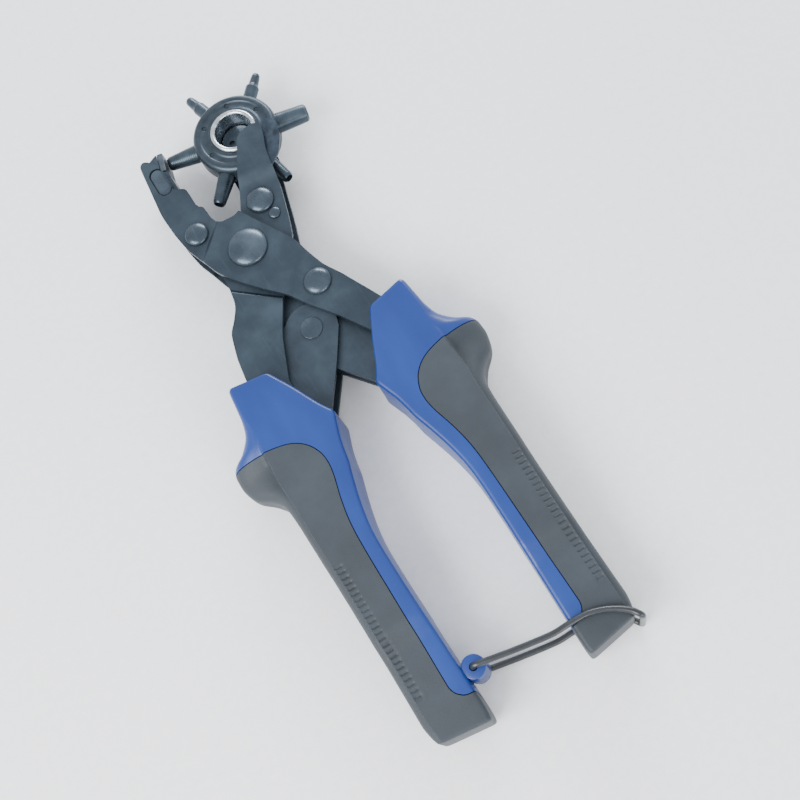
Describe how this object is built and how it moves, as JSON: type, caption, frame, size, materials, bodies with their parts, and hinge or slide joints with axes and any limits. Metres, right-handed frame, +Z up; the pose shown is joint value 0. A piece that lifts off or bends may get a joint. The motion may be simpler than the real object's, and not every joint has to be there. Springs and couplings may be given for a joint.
{
  "type": "rotary hole punch",
  "caption": "Revolving punch plier: a wheel of punch tubes on one jaw closes on an anvil, driven by compound-leverage handles with a wire latch.",
  "frame": {"origin": "centre of the bounding box's bottom face: under the middle of the plier as it lies on its rear side", "axes": "+Z up through the thickness, rear side on the table; +Y from the handle ends to the punch head; +X to the right seen from the front, the wheel's side"},
  "size_m": [0.0956, 0.2506, 0.022],
  "materials": {
    "black_oxide_plate": "black oxide, satin",
    "black_rivet_steel": "black oxide, smooth",
    "turned_tube_steel": "turned and blackened",
    "painted_wheel_steel": "black lacquer on a cast wheel",
    "zinc_plated_eyelet": "bright zinc plate",
    "ground_steel_anvil_pad": "ground",
    "blued_spring_steel": "blued",
    "blue_hard_plastic": "moulded, semi-gloss",
    "dark_soft_overmould": "matt overmould",
    "black_spring_wire": "black lacquer"
  },
  "bodies": {
    "anvil_jaw": {"anvil_jaw_front_plate": "black_oxide_plate", "anvil_jaw_rear_plate": "black_oxide_plate", "anvil_block": "black_rivet_steel", "anvil_pad": "ground_steel_anvil_pad", "main_pivot_rivet": "black_rivet_steel", "main_pivot_spacer": "black_rivet_steel", "throat_rivet": "black_rivet_steel", "throat_spacer": "black_rivet_steel", "tail_rivet": "black_rivet_steel", "tail_spacer": "black_rivet_steel", "right_link_pin": "black_rivet_steel"},
    "turret_jaw": {"turret_jaw_front_plate": "black_oxide_plate", "turret_jaw_rear_plate": "black_oxide_plate", "jaw_rivet": "black_rivet_steel", "jaw_spacer": "black_rivet_steel", "spring_rivet": "black_rivet_steel", "index_spring": "blued_spring_steel", "hub_axle": "black_rivet_steel", "left_link_pin": "black_rivet_steel"},
    "turret": {"turret_wheel": "painted_wheel_steel", "hub_eyelet": "zinc_plated_eyelet", "punch_tube_2_0mm": "turned_tube_steel", "punch_tube_2_5mm": "turned_tube_steel", "punch_tube_3_0mm": "turned_tube_steel", "punch_tube_3_5mm": "turned_tube_steel", "punch_tube_4_0mm": "turned_tube_steel", "punch_tube_5_0mm": "turned_tube_steel"},
    "right_handle": {"right_lever_front_plate": "black_oxide_plate", "right_lever_rear_plate": "black_oxide_plate", "right_shell": "blue_hard_plastic", "right_soft_grip": "dark_soft_overmould", "handle_pivot_rivet": "black_rivet_steel", "return_spring": "blued_spring_steel"},
    "left_handle": {"left_lever_front_plate": "black_oxide_plate", "left_lever_rear_plate": "black_oxide_plate", "left_shell": "blue_hard_plastic", "left_soft_grip": "dark_soft_overmould"},
    "latch": {"latch_loop": "black_spring_wire"}
  },
  "joints": [
    {"name": "jaw_open", "type": "hinge", "parent": "anvil_jaw", "child": "turret_jaw", "pos_m": [-0.00346, 0.05285, 0.011], "axis": [0, 0, -1], "range_deg": [0, 14]},
    {"name": "right_handle_swing", "type": "hinge", "parent": "anvil_jaw", "child": "right_handle", "pos_m": [0.02614, -0.00865, 0.011], "axis": [0, 0, 1], "range_deg": [0, 13]},
    {"name": "left_handle_swing", "type": "hinge", "parent": "right_handle", "child": "left_handle", "pos_m": [0, 0.01495, 0.011], "axis": [0, 0, -1], "range_deg": [0, 40]},
    {"name": "turret_spin", "type": "hinge", "parent": "turret_jaw", "child": "turret", "pos_m": [0.01474, 0.09875, 0.011], "axis": [0, 0, 1], "continuous": true},
    {"name": "latch_swing", "type": "hinge", "parent": "left_handle", "child": "latch", "pos_m": [-0.01386, -0.10945, 0.011], "axis": [0, 0, 1], "range_deg": [-125, 24.5]}
  ],
  "couplings": [
    {"joint": "right_handle_swing", "follows": "jaw_open", "ratio": 0.9219},
    {"joint": "left_handle_swing", "follows": "jaw_open", "ratio": 2.843}
  ]
}
